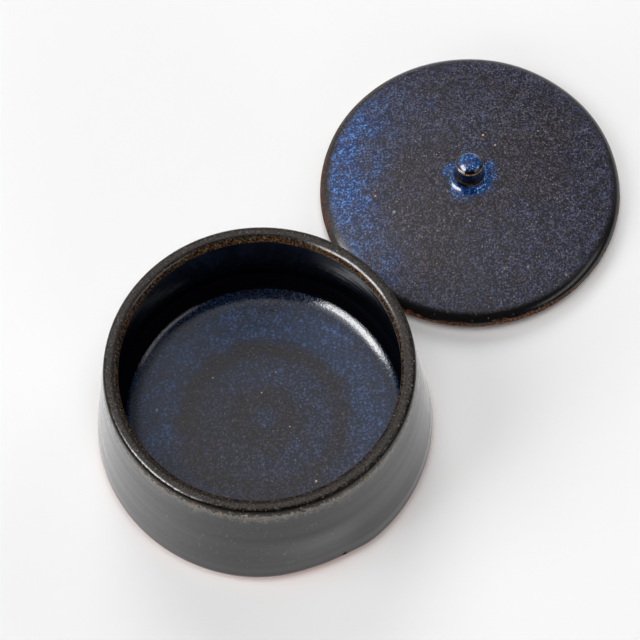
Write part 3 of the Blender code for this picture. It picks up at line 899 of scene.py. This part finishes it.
base_z = float(lid_top(BASE_R)) - BASE_SINK
neck_z = float(lid_top(FLARE_FOOT_R)) + FLARE_R - FLARE_SINK
crown_r = KNOB_RING_R - KNOB_EDGE
crown_radii = np.linspace(0, crown_r, 18)
t = np.linspace(0, 1, 14)
side_radii = (KNOB_RING_R + (NECK_R - KNOB_RING_R) * np.sin(np.pi * t / 2)
              - WAIST * np.sin(np.pi * t))
flare = arc((NECK_R + FLARE_R, neck_z), (FLARE_R, FLARE_R), 180, 268.5, 0.3)
knob_profile = join(
    np.c_[crown_radii, dome(crown_radii, KNOB_TOP, crown_r, KNOB_RING_Z + KNOB_EDGE)],
    arc((crown_r, KNOB_RING_Z), (KNOB_EDGE, KNOB_EDGE), 62, 0, 0.15),
    np.c_[side_radii, KNOB_RING_Z + (neck_z - KNOB_RING_Z) * t],
    flare,
    line((flare[-1][0], base_z), (0, base_z), 2.0))


def knob_shape(theta, along, radius, z, normal_r, normal_z):
    upper = smooth(CROWN_Z + 1, CROWN_Z + 5, z)
    push = upper * 0.06 * waves(51, theta, along, 8, 4, 5, 20)
    oval = upper * 0.10 * np.cos(2 * theta + 0.4)
    return push * normal_r + oval, push * normal_z


turned("lid_knob_glazed", knob_profile, KNOB_AXIS, 144, knob_shape, knob_glaze(KNOB_RING_Z),
       "lid", "lid_knob")

# --------------------------------------------------------------------- table
TABLE_HALF = 12.0
TABLE_WHITE, TABLE_PAINTED_LIGHT_SHIFT = 0.870, 0.032    # brightness, and its painted light falloff across the scene
TABLE_PAINTED_LIGHT_AXIS = (-0.150, 0.145, 0.0)          # painted light: brighter to the back left
TABLE_PAINTED_LIGHT_REACH = 0.08

table_mesh = bpy.data.meshes.new("table")
table_mesh.from_pydata([(x * TABLE_HALF, y * TABLE_HALF, 0)
                        for x, y in ((-1, -1), (1, -1), (1, 1), (-1, 1))], [], [(0, 1, 2, 3)])
table = bpy.data.objects.new("table", table_mesh)
bpy.context.scene.collection.objects.link(table)
table_material = bpy.data.materials.new("table_white")
table_material.use_nodes = True
table_tree = table_material.node_tree
table_shader = table_tree.nodes["Principled BSDF"]
table_place = node(table_tree, "ShaderNodeTexCoord", {}, "Object")
# painted light falloff across the table
white_and_painted_light = ramp(dot(table_place, TABLE_PAINTED_LIGHT_AXIS), -TABLE_PAINTED_LIGHT_REACH, TABLE_PAINTED_LIGHT_REACH,
                  lo=TABLE_WHITE * (1 - TABLE_PAINTED_LIGHT_SHIFT), hi=TABLE_WHITE * (1 + TABLE_PAINTED_LIGHT_SHIFT),
                  soft=False)
grey = node(table_tree, "ShaderNodeCombineColor", {i: white_and_painted_light for i in range(3)}, "Color")
put(table_shader.inputs["Roughness"], 0.9)
put(table_shader.inputs["Specular IOR Level"], 0.0)
put(table_shader.inputs["Base Color"], grey)
table_mesh.materials.append(table_material)

# --------------------------------------------------------------------- world
# what shiny surfaces see: a pale room, dark towards the viewer, with one tall
# softbox to the left and a weak reflector to the right
DEGREES = 57.29578         # in a radian
NEAR_TILT = math.radians(104)
KEY_LEVEL, KEY_GLOW_LEVEL, REFLECTOR_LEVEL = 15.5, 2.4, 1.7
RIGHT_DIMMING = 0.75

world = bpy.data.worlds.new("studio")
bpy.context.scene.world = world
world.use_nodes = True
world.cycles_visibility.diffuse = False
world_tree = world.node_tree
world_tree.nodes.clear()
direction = node(world_tree, "ShaderNodeTexCoord", {}, "Generated")


def degrees_from(azimuth):
    """Degrees round the horizon from the given azimuth."""
    angle = math.radians(azimuth)
    ahead = dot(direction, (math.cos(angle), math.sin(angle), 0.0))
    aside = dot(direction, (-math.sin(angle), math.cos(angle), 0.0))
    return calc("ARCTAN2", aside, ahead) * DEGREES


def background(colour, strength=None):
    inputs = {"Color": colour}
    if strength is not None:
        inputs["Strength"] = strength
    return node(world_tree, "ShaderNodeBackground", inputs)


elevation = calc("ARCSINE", dot(direction, (0.0, 0.0, 1.0))) * DEGREES
# near: to the front and a little down; across: up to the left
near = dot(direction, (0.0, -math.sin(NEAR_TILT), math.cos(NEAR_TILT)))
across = dot(direction, (-0.60, -0.20, 0.75))
room = ramp(near, -0.04, 0.10, lo=1.0, hi=0.03) * ramp(across, 0.0, 0.82, lo=0.28, hi=0.98)
room = room * ramp(near, -0.36, -0.06, lo=1.0, hi=0.78)
from_right = degrees_from(332)
right_side = band(from_right, -48, -34, 34, 48) * band(elevation, -10, -4, 34, 44)
reflector = band(from_right, -26, -20, 20, 26) * band(elevation, 20, 24, 35, 39)
room = room * (1.0 - right_side * RIGHT_DIMMING) + reflector * REFLECTOR_LEVEL
from_key = degrees_from(200.5)
key = band(from_key, -27, -21, 21, 27) * band(elevation, 28, 34, 49, 56)
key_glow = band(from_key, -30, -22, 22, 30) * band(elevation, 20, 26, 56, 74)
level = room + key * KEY_LEVEL + key_glow * KEY_GLOW_LEVEL
# the camera itself sees a plain pale ground
seen = node(world_tree, "ShaderNodeMixShader", {
    0: node(world_tree, "ShaderNodeLightPath", {}, "Is Camera Ray"),
    1: background((1, 1, 1), strength=level),
    2: background((0.90, 0.90, 0.90))})
put(world_tree.nodes.new("ShaderNodeOutputWorld").inputs["Surface"], seen)

# -------------------------------------------------------------------- lights
LIGHTS = (  # name, azimuth, elevation, degrees across, strength
    ("overhead", 265, 78, 36, 1.50),
    ("left_box", 189, 44, 38, 1.12),
    ("back_box", 97, 44, 32, 0.98),
    ("back_right", 40, 28, 34, 0.45),
    ("table_glow_left", 212, 12, 22, 0.84),
    ("table_glow_front", 288, 12, 24, 0.60))
LIGHT_DISTANCE = 1.5


def soft_light(name, azimuth, elevation, spread, strength):
    """A far, even light spread degrees across that gives shading and soft
    shadows but isn't seen in reflections."""
    around, above = math.radians(azimuth), math.radians(elevation)
    outward = Vector((math.cos(above) * math.cos(around),
                      math.cos(above) * math.sin(around), math.sin(above)))
    data = bpy.data.lights.new(name, "SUN")
    # the sun's angle is set from the number of degrees as it stands
    data.angle = math.radians(spread)
    data.energy = strength
    light = bpy.data.objects.new(name, data)
    bpy.context.scene.collection.objects.link(light)
    light.location = outward * LIGHT_DISTANCE
    light.rotation_euler = (-outward).to_track_quat("-Z", "Y").to_euler()
    light.visible_glossy = False
    light.visible_camera = False


for light_row in LIGHTS:
    soft_light(*light_row)

# -------------------------------------------------------------------- camera
# seen from the front, 65 degrees down, with a long lens
CAM_ELEVATION, CAM_ROLL = math.radians(65.19), math.radians(-3.15)
CAM_DISTANCE, CAM_RIGHT, CAM_UP, CAM_TARGET_Z = 1.4501, 0.03218, 0.02147, 0.080
CAM_LENS, CAM_SENSOR = 160.12125, 36.0

view = Vector((0, math.cos(CAM_ELEVATION), -math.sin(CAM_ELEVATION)))
right = Vector((1, 0, 0))
up = Vector((0, math.sin(CAM_ELEVATION), math.cos(CAM_ELEVATION)))
rolled_right = math.cos(CAM_ROLL) * right + math.sin(CAM_ROLL) * up
rolled_up = -math.sin(CAM_ROLL) * right + math.cos(CAM_ROLL) * up
camera_data = bpy.data.cameras.new("camera")
camera_data.sensor_width = CAM_SENSOR
camera_data.lens = CAM_LENS
camera_data.clip_end = 100
camera = bpy.data.objects.new("camera", camera_data)
bpy.context.scene.collection.objects.link(camera)
pose = Matrix((rolled_right, rolled_up, -view)).transposed().to_4x4()
pose.translation = (-CAM_DISTANCE * view + CAM_RIGHT * right + CAM_UP * up
                    + Vector((0, 0, CAM_TARGET_Z)))
camera.matrix_world = pose
bpy.context.scene.camera = camera
bpy.context.scene.view_settings.view_transform = "Standard"

# ---------------------------------------------------------------------- update
bpy.context.view_layer.update()
